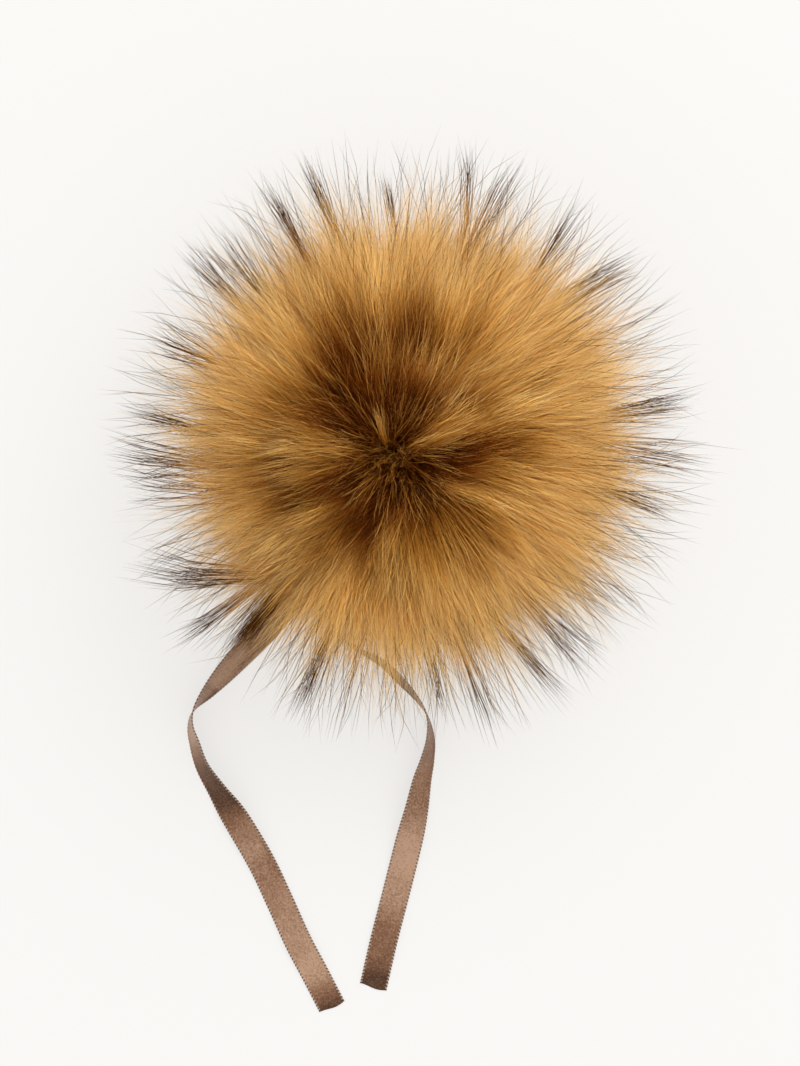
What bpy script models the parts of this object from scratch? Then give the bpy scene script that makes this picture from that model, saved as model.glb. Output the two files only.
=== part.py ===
"""Long-pile faux fur pompom with two satin ribbon ties, lying on a flat surface.

The pompom is a round of fur cloth gathered into a ball. Its pile is combed away from a crown near
the top, and the pile underneath is pressed outwards along the surface. Two narrow ribbons are
sewn to the gathered base; they run out under the pile and lie on the surface.

Metres, +Z up. The surface is Z = 0 and the origin is under the middle of the pompom.
Run with: blender --background --python part.py
"""

import math
import random

import bmesh
import bpy
from mathutils import Matrix, Vector

MM = 0.001

# Pompom: a backing ball of radius CORE_RADIUS, and locks of pile that reach REACH from its middle
CORE_RADIUS = 30 * MM
CORE_HEIGHT = 38 * MM
REACH = 71 * MM
SHORTEST_SHARE = 0.78  # the shortest lock's reach, as a share of REACH
NECK_RADIUS = 10.5 * MM  # the backing inside this radius is drawn down to the surface
CROWN_OFFSET = Vector((-3.6 * MM, -2.6 * MM, CORE_RADIUS))  # from the ball's middle

# Locks of pile
CORE_JITTER = 0.9 * MM
ROOT_GAP = 0.55 * MM  # bare backing round each lock's root
LOCK_STEPS = 4
LOCK_TAPER = (1.0, 1.1, 0.86, 0.46, 0.05)  # share of the root's width at each step
CROWN_COMB = math.radians(42)  # most that a lock leans away from the crown
COMB_FROM = math.radians(7)  # from the crown, where most of that lean is reached
COMB_UNTIL = math.radians(112)  # from the crown, where it has died away
TIP_SWAY = math.radians(3.2)  # to either side, at random
TOP_FLATTEN = 0.94  # long pile sinks a little under its own weight
SEED = 19

# Pile under the ball turns outwards and lies on the surface.
BARE_POLAR = math.radians(152)  # no locks from here down: the gathered neck
LEVEL_POLAR = math.radians(144)  # tips from here down lie on the surface
PRESS_POWER = 1.45  # how the other tips' heights close up towards it
SHORTER_FROM = math.radians(112)
SHORTER_BY = 0.42  # of a lock's length, at BARE_POLAR
LEVEL_SINK = 0.4  # a level lock's middle above the surface, as a share of its section's radius

# Locks are left out where the ribbons run.
LANE_FROM = math.radians(211)
LANE_UNTIL = math.radians(282)
LANE_POLAR = math.radians(117)

# Ribbons
RIBBON_WIDTH = 6.35 * MM
RIBBON_THICKNESS = 1.0 * MM
POINTS_PER_STRETCH = 3
REST_CLEARANCE = 0.02 * MM

# Each row: x, y in mm; twist in degrees, 0 and 180 lying flat and 90 standing on an edge; and
# lift, in mm, of the lower edge above the surface.
COLUMNS = ("x", "y", "twist", "lift")
LEFT_TIE = (
    (-7.1, -8.6, 0, 2.85),
    (-13.2, -17.0, 2, 0.7),
    (-19.0, -25.6, 8, 0.2),
    (-25.4, -34.8, 18, 0.0),
    (-32.2, -43.8, 27, 0.0),
    (-39.7, -51.5, 35, 0.0),
    (-45.4, -57.8, 60, 0.0),
    (-48.9, -62.2, 88, 0.0),
    (-49.7, -65.8, 101, 0.0),
    (-48.8, -69.8, 112, 0.0),
    (-47.0, -75.2, 120, 0.0),
    (-43.4, -81.0, 136, 0.3),
    (-39.1, -87.6, 168, 1.0),
    (-33.6, -97.1, 180, 0.4),
    (-29.4, -106.0, 180, 0.2),
    (-25.4, -114.8, 180, 0.6),
    (-21.4, -122.4, 180, 0.3),
    (-17.5, -130.0, 180, 0.0),
)
RIGHT_TIE = (
    (1.6, -12.6, 0, 1.2),
    (-2.9, -18.4, 0, 0.7),
    (-7.4, -24.0, -6, 0.2),
    (-12.0, -30.2, -22, 0.0),
    (-16.2, -36.6, -56, 0.0),
    (-17.7, -41.3, -76, 0.0),
    (-15.9, -45.5, -86, 0.0),
    (-11.8, -48.6, -82, 0.0),
    (-6.4, -51.6, -75, 0.0),
    (-2.2, -55.6, -73, 0.0),
    (1.8, -60.1, -82, 0.0),
    (4.0, -64.0, -92, 0.0),
    (4.6, -68.9, -107, 0.0),
    (3.9, -73.6, -120, 0.0),
    (2.7, -78.4, -133, 0.2),
    (1.4, -85.2, -150, 0.9),
    (-0.7, -94.0, -176, 0.8),
    (-3.2, -104.0, -180, 0.3),
    (-5.9, -114.5, -180, 0.5),
    (-8.4, -125.4, -180, 0.0),
)


def remove_everything():
    for obj in list(bpy.data.objects):
        bpy.data.objects.remove(obj)


def make_collection(name):
    collection = bpy.data.collections.new(name)
    bpy.context.scene.collection.children.link(collection)
    return collection


def make_material(name, colour, roughness, sheen=0.0):
    material = bpy.data.materials.new(name)
    material.use_nodes = True
    shader = material.node_tree.nodes["Principled BSDF"]
    shader.inputs["Base Color"].default_value = (*colour, 1.0)
    shader.inputs["Roughness"].default_value = roughness
    shader.inputs["Metallic"].default_value = 0.0
    shader.inputs["Sheen Weight"].default_value = sheen
    return material


def smoothstep(low, high, value):
    t = min(1.0, max(0.0, (value - low) / (high - low)))
    return t * t * (3 - 2 * t)


# --- the pile -----------------------------------------------------------------------------------


def comb_angle(from_crown):
    """How far a lock's tip leans away from the crown: not at all at the crown or low down."""
    rise = math.tanh(from_crown / COMB_FROM)
    fall = 1 - smoothstep(0, COMB_UNTIL, from_crown)
    return CROWN_COMB * rise * fall


def polar_of(direction):
    return math.acos(max(-1.0, min(1.0, direction.z)))


def azimuth_of(direction):
    return math.atan2(direction.y, direction.x) % (2 * math.pi)


def carries_lock(direction):
    if polar_of(direction) > BARE_POLAR:
        return False
    in_lane = LANE_FROM < azimuth_of(direction) < LANE_UNTIL
    return not (in_lane and polar_of(direction) > LANE_POLAR)


def upper_route(direction, reach, sway):
    """Centreline of a lock on the upper half, leaning away from the crown towards its tip."""
    crown = CROWN_OFFSET.normalized()
    axis = crown.cross(direction).normalized()
    lean = comb_angle(crown.angle(direction))
    centre = Vector((0, 0, CORE_HEIGHT))
    route = []
    for step in range(LOCK_STEPS + 1):
        radius = CORE_RADIUS + (reach - CORE_RADIUS) * step / LOCK_STEPS
        share = (radius - CORE_RADIUS) / (REACH - CORE_RADIUS)
        turned = Matrix.Rotation(lean * share, 3, axis) @ direction
        turned = Matrix.Rotation(sway * share, 3, direction) @ turned
        offset = turned * radius
        if offset.z > 0:
            offset.z *= 1 - (1 - TOP_FLATTEN) * share
        route.append(centre + offset)
    return route


def lower_route(direction, reach, sway):
    """Centreline of a lock on the lower half: it runs out of the ball, then turns level.

    The tips' heights close up towards the surface, so that each row lies on the one below.
    """
    drop = math.cos(LEVEL_POLAR)
    tip_height = CORE_HEIGHT * max(0.0, 1 - direction.z / drop) ** PRESS_POWER
    root = Vector((0, 0, CORE_HEIGHT)) + direction * CORE_RADIUS
    shorter = SHORTER_BY * smoothstep(SHORTER_FROM, BARE_POLAR, polar_of(direction))
    length = (reach - CORE_RADIUS) * (1 - shorter)
    outwards = Vector((direction.x, direction.y, 0)).normalized()
    outwards.rotate(Matrix.Rotation(sway, 3, "Z"))
    fall = root.z - tip_height
    tip = Vector((root.x, root.y, tip_height))
    tip += outwards * math.sqrt(max(0.0, length**2 - fall**2))
    straight = min(0.6 * length, fall / max(1e-6, -direction.z))
    knee = root + direction * straight
    route = []
    for step in range(LOCK_STEPS + 1):
        share = step / LOCK_STEPS
        route.append(root.lerp(knee, share).lerp(knee.lerp(tip, share), share))
    return route


def grow_lock(bm, face, rng):
    """Extrudes a face of the backing along its lock's centreline, down to a fine tip."""
    root = face.calc_center_median()
    direction = (root - Vector((0, 0, CORE_HEIGHT))).normalized()
    reach = REACH * rng.uniform(SHORTEST_SHARE, 1.0)
    sway = rng.uniform(-TIP_SWAY, TIP_SWAY)
    if direction.z >= 0:
        route = upper_route(direction, reach, sway)
    else:
        route = lower_route(direction, reach, sway)
    section_radius = max((v.co - root).length for v in face.verts)
    forward = face.normal.copy()
    place, width = root, 1.0
    for step in range(1, LOCK_STEPS + 1):
        ahead = route[min(step + 1, LOCK_STEPS)]
        new_forward = (ahead - route[step - 1]).normalized()
        turn = forward.rotation_difference(new_forward)
        new_width = LOCK_TAPER[step]
        new_place = route[step].copy()
        new_place.z = max(new_place.z, LEVEL_SINK * section_radius * new_width)
        face = bmesh.ops.extrude_discrete_faces(bm, faces=[face])["faces"][0]
        for vert in face.verts:
            vert.co = new_place + turn @ (vert.co - place) * (new_width / width)
        place, width, forward = new_place, new_width, new_forward


def rest_on_surface(bm):
    """The sides of the lowest locks lie flat on the surface."""
    for vert in bm.verts:
        vert.co.z = max(0.0, vert.co.z)


def make_backing(bm, rng):
    """The gathered ball: a jittered icosphere, drawn down to a neck with a flat end."""
    bmesh.ops.create_icosphere(bm, subdivisions=3, radius=CORE_RADIUS)
    for vert in bm.verts:
        nudge = Vector([rng.uniform(-1, 1) for _ in range(3)]) * CORE_JITTER
        vert.co = (vert.co + nudge).normalized() * CORE_RADIUS
        vert.co.z += CORE_HEIGHT
        radius = math.hypot(vert.co.x, vert.co.y)
        if vert.co.z < CORE_HEIGHT and radius < NECK_RADIUS:
            vert.co.z = 0.0


def make_fur(collection):
    rng = random.Random(SEED)
    bm = bmesh.new()
    make_backing(bm, rng)
    bm.normal_update()
    middle = Vector((0, 0, CORE_HEIGHT))
    carriers = [
        face
        for face in bm.faces
        if carries_lock((face.calc_center_median() - middle).normalized())
    ]
    bmesh.ops.inset_individual(bm, faces=carriers, thickness=ROOT_GAP)
    bm.normal_update()
    for face in carriers:
        grow_lock(bm, face, rng)
    rest_on_surface(bm)
    bmesh.ops.recalc_face_normals(bm, faces=bm.faces)
    mesh = bpy.data.meshes.new("fur_pompom")
    bm.to_mesh(mesh)
    bm.free()
    centre_over_origin(mesh)
    mesh.materials.append(make_material("camel_pile", (0.56, 0.32, 0.11), 0.7, 0.3))
    fur = bpy.data.objects.new("fur_pompom", mesh)
    collection.objects.link(fur)
    print("locks:", len(carriers))


def centre_over_origin(mesh):
    """Shifts the pile so that its outline is centred on the origin."""
    xs = [v.co.x for v in mesh.vertices]
    ys = [v.co.y for v in mesh.vertices]
    shift = Vector((-(min(xs) + max(xs)) / 2, -(min(ys) + max(ys)) / 2, 0))
    mesh.transform(Matrix.Translation(shift))


# --- the ribbons --------------------------------------------------------------------------------


def spline_value(before, start, end, after, share):
    """Catmull-Rom interpolation of one number between start and end."""
    return 0.5 * (
        2 * start
        + (end - before) * share
        + (2 * before - 5 * start + 4 * end - after) * share**2
        + (3 * start - before - 3 * end + after) * share**3
    )


def smooth_rows(rows):
    """The table's rows with smooth ones filled in between them, each as a dict by column."""
    filled = []
    for i in range(len(rows) - 1):
        around = [rows[max(0, min(len(rows) - 1, i + k))] for k in (-1, 0, 1, 2)]
        for step in range(POINTS_PER_STRETCH):
            share = step / POINTS_PER_STRETCH
            filled.append([spline_value(*column, share) for column in zip(*around)])
    filled.append([float(value) for value in rows[-1]])
    return [dict(zip(COLUMNS, row)) for row in filled]


def ribbon_points(rows):
    """(place of the ribbon's middle, twist) at each point along a tie, from the tie's table."""
    points = []
    for row in smooth_rows(rows):
        twist = math.radians(row["twist"])
        lift = max(0.0, row["lift"]) * MM + REST_CLEARANCE
        half_height = abs(math.sin(twist)) * RIBBON_WIDTH / 2
        half_height += abs(math.cos(twist)) * RIBBON_THICKNESS / 2
        place = Vector((row["x"] * MM, row["y"] * MM, lift + half_height))
        points.append((place, twist))
    return points


def make_ribbon(name, rows, material, collection):
    """A flat strip swept along the tie's route: an open curve surface, then Solidify."""
    points = ribbon_points(rows)
    curve = bpy.data.curves.new(name + "_route", "CURVE")
    curve.dimensions = "3D"
    curve.twist_mode = "Z_UP"
    curve.extrude = RIBBON_WIDTH / 2
    spline = curve.splines.new("POLY")
    spline.points.add(len(points) - 1)
    for point, (place, twist) in zip(spline.points, points):
        point.co = (*place, 1.0)
        point.tilt = math.pi / 2 - twist
    strip = bpy.data.objects.new(name + "_strip", curve)
    collection.objects.link(strip)
    graph = bpy.context.evaluated_depsgraph_get()
    mesh = bpy.data.meshes.new_from_object(strip.evaluated_get(graph))
    mesh.name = name
    bpy.data.objects.remove(strip)
    mesh.materials.clear()
    mesh.materials.append(material)
    ribbon = bpy.data.objects.new(name, mesh)
    collection.objects.link(ribbon)
    solidify = ribbon.modifiers.new("thickness", "SOLIDIFY")
    solidify.thickness = RIBBON_THICKNESS
    solidify.offset = 0.0


def main():
    remove_everything()
    collection = make_collection("fur_pompom_with_ties")
    make_fur(collection)
    satin = make_material("brown_satin", (0.27, 0.15, 0.10), 0.35, 0.2)
    make_ribbon("ribbon_tie_left", LEFT_TIE, satin, collection)
    make_ribbon("ribbon_tie_right", RIGHT_TIE, satin, collection)


main()
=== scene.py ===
"""The looks of a faux fur pompom with two satin ribbon ties: pile hair by hair, ribbon, light.

Lengths are in metres unless a name or a table says mm. +Z is up and the surface is Z = 0.
"""

import math

import bpy
import numpy as np
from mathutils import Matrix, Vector


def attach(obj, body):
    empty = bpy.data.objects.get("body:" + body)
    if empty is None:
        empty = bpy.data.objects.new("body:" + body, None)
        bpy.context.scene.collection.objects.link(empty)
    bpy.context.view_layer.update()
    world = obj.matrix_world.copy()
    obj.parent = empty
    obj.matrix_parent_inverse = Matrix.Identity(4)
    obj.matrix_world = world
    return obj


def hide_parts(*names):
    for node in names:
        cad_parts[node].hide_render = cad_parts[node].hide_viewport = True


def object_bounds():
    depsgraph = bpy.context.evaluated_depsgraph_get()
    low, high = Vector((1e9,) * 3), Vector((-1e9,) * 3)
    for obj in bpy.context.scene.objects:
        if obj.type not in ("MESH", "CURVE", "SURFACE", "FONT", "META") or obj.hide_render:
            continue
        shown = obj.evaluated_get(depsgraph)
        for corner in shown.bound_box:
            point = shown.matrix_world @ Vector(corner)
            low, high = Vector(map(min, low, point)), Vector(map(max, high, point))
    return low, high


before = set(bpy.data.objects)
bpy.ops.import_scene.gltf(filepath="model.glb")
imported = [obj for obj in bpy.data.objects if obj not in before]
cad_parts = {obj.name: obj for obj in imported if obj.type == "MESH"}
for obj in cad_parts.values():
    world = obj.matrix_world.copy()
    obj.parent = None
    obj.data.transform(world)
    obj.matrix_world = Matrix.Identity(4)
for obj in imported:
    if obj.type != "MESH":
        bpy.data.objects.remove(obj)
cad_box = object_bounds()

MM = 0.001
RNG = np.random.default_rng(4)
UP = np.array([0.0, 0.0, 1.0])
CLEARANCE = 0.02 * MM  # of any point from the surface
UV_RANGE = (0.01, 0.99)  # of tones in a UV map


# --- small helpers ---


def unit(v):
    return v / np.maximum(np.linalg.norm(v, axis=-1, keepdims=True), 1e-12)


def smoothstep(low, high, x):
    t = np.clip((x - low) / (high - low), 0, 1)
    return t * t * (3 - 2 * t)


def lerp(a, b, t):
    return a + (b - a) * t


def crosswise(line):
    """A unit vector square to a line of the plane."""
    return np.array([-line[1], line[0]]) / np.linalg.norm(line)


def bent(root, knee, tip, s):
    """Routes that set out from root towards knee and end at tip. s: shares of the way."""
    t = s[None, :, None]
    return lerp(lerp(root[:, None], knee[:, None], t), lerp(knee[:, None], tip[:, None], t), t)


def link(obj):
    bpy.context.scene.collection.objects.link(obj)
    return obj


def mesh_object(name, points, faces, uvs, material):
    """A smooth mesh. faces: arrays of quads or triangles; uvs: each map's name and vertex UVs."""
    mesh = bpy.data.meshes.new(name)
    loops = np.concatenate([each.reshape(-1) for each in faces]).astype(np.int32)
    sizes = np.concatenate([np.full(len(each), each.shape[1]) for each in faces])
    starts = np.concatenate([[0], np.cumsum(sizes)[:-1]])
    mesh.vertices.add(len(points))
    mesh.vertices.foreach_set("co", points.astype(np.float32).reshape(-1))
    mesh.loops.add(len(loops))
    mesh.loops.foreach_set("vertex_index", loops)
    mesh.polygons.add(len(sizes))
    mesh.polygons.foreach_set("loop_start", starts.astype(np.int32))
    mesh.polygons.foreach_set("use_smooth", np.ones(len(sizes), bool))
    mesh.update(calc_edges=True)
    for layer, uv in uvs.items():
        made = mesh.uv_layers.new(name=layer)
        made.data.foreach_set("uv", uv[loops].astype(np.float32).reshape(-1))
    mesh.validate()
    mesh.materials.append(material)
    return link(bpy.data.objects.new(name, mesh))


# --- the photograph's frame ---

PHOTO_SIZE = (800, 1066)
PIXEL = 0.2268 * MM  # on the surface
ORIGIN_PIXEL = (410, 435)  # where the pompom's middle is
CAMERA_HEIGHT = 2.0
MIDDLE_PIXEL = (PHOTO_SIZE[0] / 2, PHOTO_SIZE[1] / 2)
CAMERA_XY = PIXEL * np.array([MIDDLE_PIXEL[0] - ORIGIN_PIXEL[0], ORIGIN_PIXEL[1] - MIDDLE_PIXEL[1]])
PILE_TOP_HEIGHT = 85 * MM  # at which the photograph shows the top of the pile
TIE_HEIGHT = 3 * MM  # and the ties


def seen_at(px, py, height):
    """The x and y of what the photograph shows at a pixel, if it is at that height."""
    step = PIXEL * (CAMERA_HEIGHT - height) / CAMERA_HEIGHT
    return CAMERA_XY + np.array([px - MIDDLE_PIXEL[0], MIDDLE_PIXEL[1] - py]) * step


# --- the pompom ---

BALL = np.array([-0.2, -1.6, 38.0]) * MM  # middle of the backing ball, as in the CAD
BALL_RADIUS = 30 * MM
NECK_RADIUS = 8.5 * MM
CROWN = unit(np.array([-3.6, -2.6, 30.0]) * MM)  # the way to the crown from the ball's middle
CAD_TOP = cad_box[1][2]
FULL_REACH = 71 * MM  # of the longest hair, from the ball's middle
BODY_EDGE = 52 * MM  # where the golden pile ends and the guard hairs run on in black
COMB = math.radians(47)  # how far the pile is combed away from the crown
COMB_FROM = math.radians(8)  # the angle from the crown over which that sets in
COMB_UNTIL = math.radians(114)  # and the angle at which it has faded out
COMB_CURVE = 1.6  # above 1, a hair turns more near its root
TOP_FLATTEN = 0.94  # share of its height that the longest hair keeps on top
BARE_POLAR = math.radians(151)  # no hair grows below this
LEVEL_POLAR = math.radians(144)  # hair that grows here lies on the surface
PRESS_POWER = 1.45  # above 1, hair on the lower half is pressed further down
SHORTER_FROM = math.radians(112)  # below this, hair gets shorter
SHORTER_BY = 0.42  # by this share where the ball is bare
LANE = (math.radians(211), math.radians(282))  # the ribbons run out between these
LANE_FLOOR = 8.5 * MM  # long hair over the ribbons stays above this
LANE_FLOOR_SHORT = 4.3 * MM  # and short hair, which ends before they turn on edge, above this
TOP_COVER = 13  # hairs over a place that hide what is below them: their lowest is the pile's top
HAIR_CLEARANCE = 0.2 * MM  # of a hair's middle line from the surface

# How many hairs of each kind, and how far from the ball's middle its usual hair reaches
UNDERFUR = (28500, 47 * MM)
LOCK_HAIR = (25200, 48.5 * MM)
FLUFF_HAIR = (17000, 69 * MM)
LONG_GUARD_HAIR = (1100, 70.5 * MM)
SHORT_GUARD_HAIR = (1700, 53 * MM)

# The cosine of the angle from the crown at which the last three begin
FLUFF_START = 0.84
LONG_GUARD_START = 0.93
SHORT_GUARD_START = 0.99


# --- materials ---


class Shader:
    """A material with one Principled BSDF, and shorthands for adding nodes to it."""

    def __init__(self, name, **sockets):
        self.material = bpy.data.materials.new(name)
        self.material.use_nodes = True
        self.tree = self.material.node_tree
        self.bsdf = self.tree.nodes["Principled BSDF"]
        for socket, value in sockets.items():
            self.bsdf.inputs[socket.replace("_", " ")].default_value = value

    def node(self, kind, **settings):
        made = self.tree.nodes.new(kind)
        for name, value in settings.items():
            setattr(made, name, value)
        return made

    def put(self, value, socket):
        """Links a node's output to a socket, or sets the socket to a plain value."""
        if isinstance(value, bpy.types.NodeSocket):
            self.tree.links.new(value, socket)
        else:
            socket.default_value = value

    def coloured(self, colour):
        """The finished material, with that output as its colour."""
        self.put(colour, self.bsdf.inputs["Base Color"])
        return self.material

    def uv(self, layer):
        split = self.node("ShaderNodeSeparateXYZ")
        self.put(self.node("ShaderNodeUVMap", uv_map=layer).outputs["UV"], split.inputs[0])
        return split.outputs["X"], split.outputs["Y"]

    def noise(self, scale, detail, roughness=0.5):
        """Noise in the object's own coordinates, so its scale is per metre."""
        made = self.node("ShaderNodeTexNoise")
        for socket, value in (("Scale", scale), ("Detail", detail), ("Roughness", roughness)):
            self.put(value, made.inputs[socket])
        self.put(self.node("ShaderNodeTexCoord").outputs["Object"], made.inputs["Vector"])
        return made.outputs["Fac"]

    def ramp(self, value, stops):
        made = self.node("ShaderNodeValToRGB")
        elements = made.color_ramp.elements
        while len(elements) > 1:
            elements.remove(elements[-1])
        for i, (place, colour) in enumerate(stops):
            element = elements[0] if i == 0 else elements.new(place)
            element.position = place
            element.color = (*srgb(colour), 1.0)
        self.put(value, made.inputs["Fac"])
        return made.outputs["Color"]

    def mix(self, share, a, b):
        made = self.node("ShaderNodeMix", data_type="RGBA")
        for value, socket in ((share, 0), (a, 6), (b, 7)):
            self.put(value, made.inputs[socket])
        return made.outputs[2]

    def math(self, operation, a, b=0.0, clamp=False):
        made = self.node("ShaderNodeMath", operation=operation, use_clamp=clamp)
        self.put(a, made.inputs[0])
        self.put(b, made.inputs[1])
        return made.outputs[0]

    def wave(self, value, pitch):
        """A sine that repeats at that pitch."""
        return self.math("SINE", self.math("MULTIPLY", value, 2 * math.pi / pitch))

    def bump(self, height, strength, distance):
        made = self.node("ShaderNodeBump")
        for socket, value in (("Strength", strength), ("Distance", distance), ("Height", height)):
            self.put(value, made.inputs[socket])
        self.put(made.outputs["Normal"], self.bsdf.inputs["Normal"])


def srgb(colour):
    """Linear values of a colour given as 0 to 255 sRGB."""
    scaled = [c / 255 for c in colour]
    return tuple(c / 12.92 if c <= 0.04045 else ((c + 0.055) / 1.055) ** 2.4 for c in scaled)


# Colours along a hair, from its root (0) to its tip (1). The pile's are those of tone 0, the dark
# tone, the middle tone and tone 1, and it has tones between them too.
# Tone 0 is painted shade: the near-black pockets deep in the pile at the crown.
PAINTED_SHADE_PILE = (
    (0.0, (32, 10, 1)),
    (0.35, (50, 18, 2)),
    (0.70, (66, 27, 4)),
    (1.0, (88, 44, 11)),
)
DARK_TONE = 0.16
# The crown's dark tone is partly dye and partly painted shade of looking down into the pile there.
CROWN_DYE_AND_SHADE_TONE = DARK_TONE + 0.08
DARK_PILE = (
    (0.0, (52, 18, 2)),
    (0.35, (90, 37, 3)),
    (0.70, (116, 56, 8)),
    (0.92, (134, 71, 15)),
    (1.0, (150, 86, 26)),
)
MID_TONE = 0.50
MID_PILE = (
    (0.0, (134, 70, 10)),
    (0.35, (160, 98, 26)),
    (0.70, (178, 124, 52)),
    (0.92, (188, 137, 66)),
    (1.0, (196, 148, 80)),
)
LIGHT_PILE = (
    (0.0, (196, 106, 20)),
    (0.25, (222, 135, 36)),
    (0.55, (243, 174, 74)),
    (0.82, (250, 208, 128)),
    (1.0, (252, 226, 170)),
)
FLUFF = (
    (0.0, (200, 116, 36)),
    (0.35, (236, 174, 88)),
    (0.70, (238, 195, 126)),
    (1.0, (236, 201, 144)),
)
GUARD_HAIR = (
    (0.0, (130, 72, 20)),
    (0.25, (184, 118, 44)),
    (0.50, (200, 148, 80)),
    (0.60, (122, 80, 38)),
    (0.68, (64, 38, 15)),
    (0.85, (60, 33, 9)),
    (1.0, (104, 63, 25)),
)
GUARD_BLACK = 0.62  # where on its ramp a guard hair turns black
GUARD_SHIFT = 1.2  # how far down the hair its first UV moves the black, from none to nearly all


def pile_material():
    shader = Shader("camel_pile", Roughness=0.8, Specular_IOR_Level=0.02)
    tone, along = shader.uv("strand")
    colour = shader.ramp(along, PAINTED_SHADE_PILE)
    tones = (0.0, DARK_TONE, MID_TONE, 1.0)
    for start, end, stops in zip(tones, tones[1:], (DARK_PILE, MID_PILE, LIGHT_PILE)):
        over = shader.math("DIVIDE", shader.math("SUBTRACT", tone, start), end - start, clamp=True)
        colour = shader.mix(over, colour, shader.ramp(along, stops))
    return shader.coloured(colour)


def fluff_material():
    shader = Shader("pale_fluff", Roughness=0.8, Specular_IOR_Level=0.04)
    tone, along = shader.uv("strand")
    dark, light = shader.ramp(along, DARK_PILE), shader.ramp(along, FLUFF)
    return shader.coloured(shader.mix(tone, dark, light))


def guard_material():
    shader = Shader("guard_hair", Roughness=0.6, Specular_IOR_Level=0.0)
    black, along = shader.uv("strand")
    shift = shader.math("MULTIPLY", shader.math("SUBTRACT", black, 0.5), GUARD_SHIFT)
    return shader.coloured(shader.ramp(shader.math("ADD", along, shift), GUARD_HAIR))


def backing_material():
    shader = Shader("fur_backing", Roughness=0.95)
    noise = shader.noise(900, 3)
    colour = shader.ramp(noise, ((0.3, (46, 26, 12)), (0.7, (84, 50, 24))))
    shader.bump(noise, 0.6, 0.4 * MM)
    return shader.coloured(colour)


# --- hair routes ---


def upper_route(d, crown, reach, sway, s):
    """Points of hairs that lean away from their crown. d: root directions; s: shares of length."""
    cosine = np.clip(np.sum(d * crown, axis=1), -1, 1)
    sine = np.sqrt(np.maximum(1e-9, 1 - cosine**2))[:, None]
    angle = np.arccos(cosine)
    away, aside = (d * cosine[:, None] - crown) / sine, np.cross(crown, d) / sine
    lean = COMB * np.tanh(angle / COMB_FROM) * (1 - smoothstep(0, COMB_UNTIL, angle))
    radius = BALL_RADIUS + (reach - BALL_RADIUS)[:, None] * s
    out = np.clip((radius - BALL_RADIUS) / (FULL_REACH - BALL_RADIUS), 0, 1)
    turned = lean[:, None] * (1 - (1 - out) ** COMB_CURVE)
    p = np.cos(turned)[..., None] * d[:, None] + np.sin(turned)[..., None] * away[:, None]
    p = unit(p + (sway[:, None] * s**1.4)[..., None] * aside[:, None]) * radius[..., None]
    p[..., 2] *= np.where(p[..., 2] > 0, 1 - (1 - TOP_FLATTEN) * out, 1)
    return BALL + p


def lower_route(d, reach, sway, s):
    """Points of hairs on the lower half, which turn level, the lowest ones on the surface."""
    height = BALL[2] * np.maximum(0, 1 - d[:, 2] / math.cos(LEVEL_POLAR)) ** PRESS_POWER
    polar = np.arccos(np.clip(d[:, 2], -1, 1))
    azimuth = np.arctan2(d[:, 1], d[:, 0]) % (2 * math.pi)
    middle, half = sum(LANE) / 2, (LANE[1] - LANE[0]) / 2
    over_lane = 1 - smoothstep(half - 0.1, half + 0.12, np.abs(azimuth - middle))
    floor = lerp(LANE_FLOOR_SHORT, LANE_FLOOR, smoothstep(42 * MM, 50 * MM, reach))
    height = np.maximum(height, floor * over_lane)
    root = BALL + d * BALL_RADIUS
    length = (reach - BALL_RADIUS) * (1 - SHORTER_BY * smoothstep(SHORTER_FROM, BARE_POLAR, polar))
    flat = unit(d * [1, 1, 0])
    outwards = unit(flat + sway[:, None] * np.cross(UP, flat))
    fall = root[:, 2] - height
    tip = np.c_[root[:, :2], height]
    tip = tip + outwards * np.sqrt(np.maximum(0, length**2 - fall**2))[:, None]
    straight = np.minimum(0.6 * length, np.maximum(0, fall) / np.maximum(1e-6, -d[:, 2]))
    return bent(root, root + d * straight[:, None], tip, s)


def hair_route(d, crown, reach, sway, s):
    """Points of hairs of both halves, with the two kinds of route blended at the ball's waist."""
    blend = smoothstep(-0.16, 0.1, d[:, 2])[:, None, None]
    return lerp(lower_route(d, reach, sway, s), upper_route(d, crown, reach, sway, s), blend)


def crown_angle(p):
    """The angle from the crown at which points lie, seen from the ball's middle."""
    return np.arccos(np.clip(unit(p - BALL) @ CROWN, -1, 1))


def sphere_directions(count, density=None):
    """Even directions, thinned to a density that is given as a function of direction."""
    many = count * 14 if density else count
    i = np.arange(many) + 0.5
    z = 1 - 2 * i / many
    turn = i * math.pi * (1 + 5**0.5)
    flat = np.sqrt(1 - z * z)
    d = np.c_[flat * np.cos(turn), flat * np.sin(turn), z]
    d = unit(d + RNG.normal(0, 0.35 / math.sqrt(many), d.shape))
    if density is None:
        return d
    weight = density(d)
    picked = RNG.choice(many, count, replace=False, p=weight / weight.sum())
    return d[picked]


def nearest(d, centres):
    """The number of the nearest centre to each direction, a few thousand at a time."""
    found, step = np.empty(len(d), int), 4000
    for start in range(0, len(d), step):
        found[start : start + step] = np.argmax(d[start : start + step] @ centres.T, axis=1)
    return found


def reaching(usual, share):
    """How far from the ball's middle hairs reach that have that share of the usual one's length."""
    return BALL_RADIUS + (usual - BALL_RADIUS) * share
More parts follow.
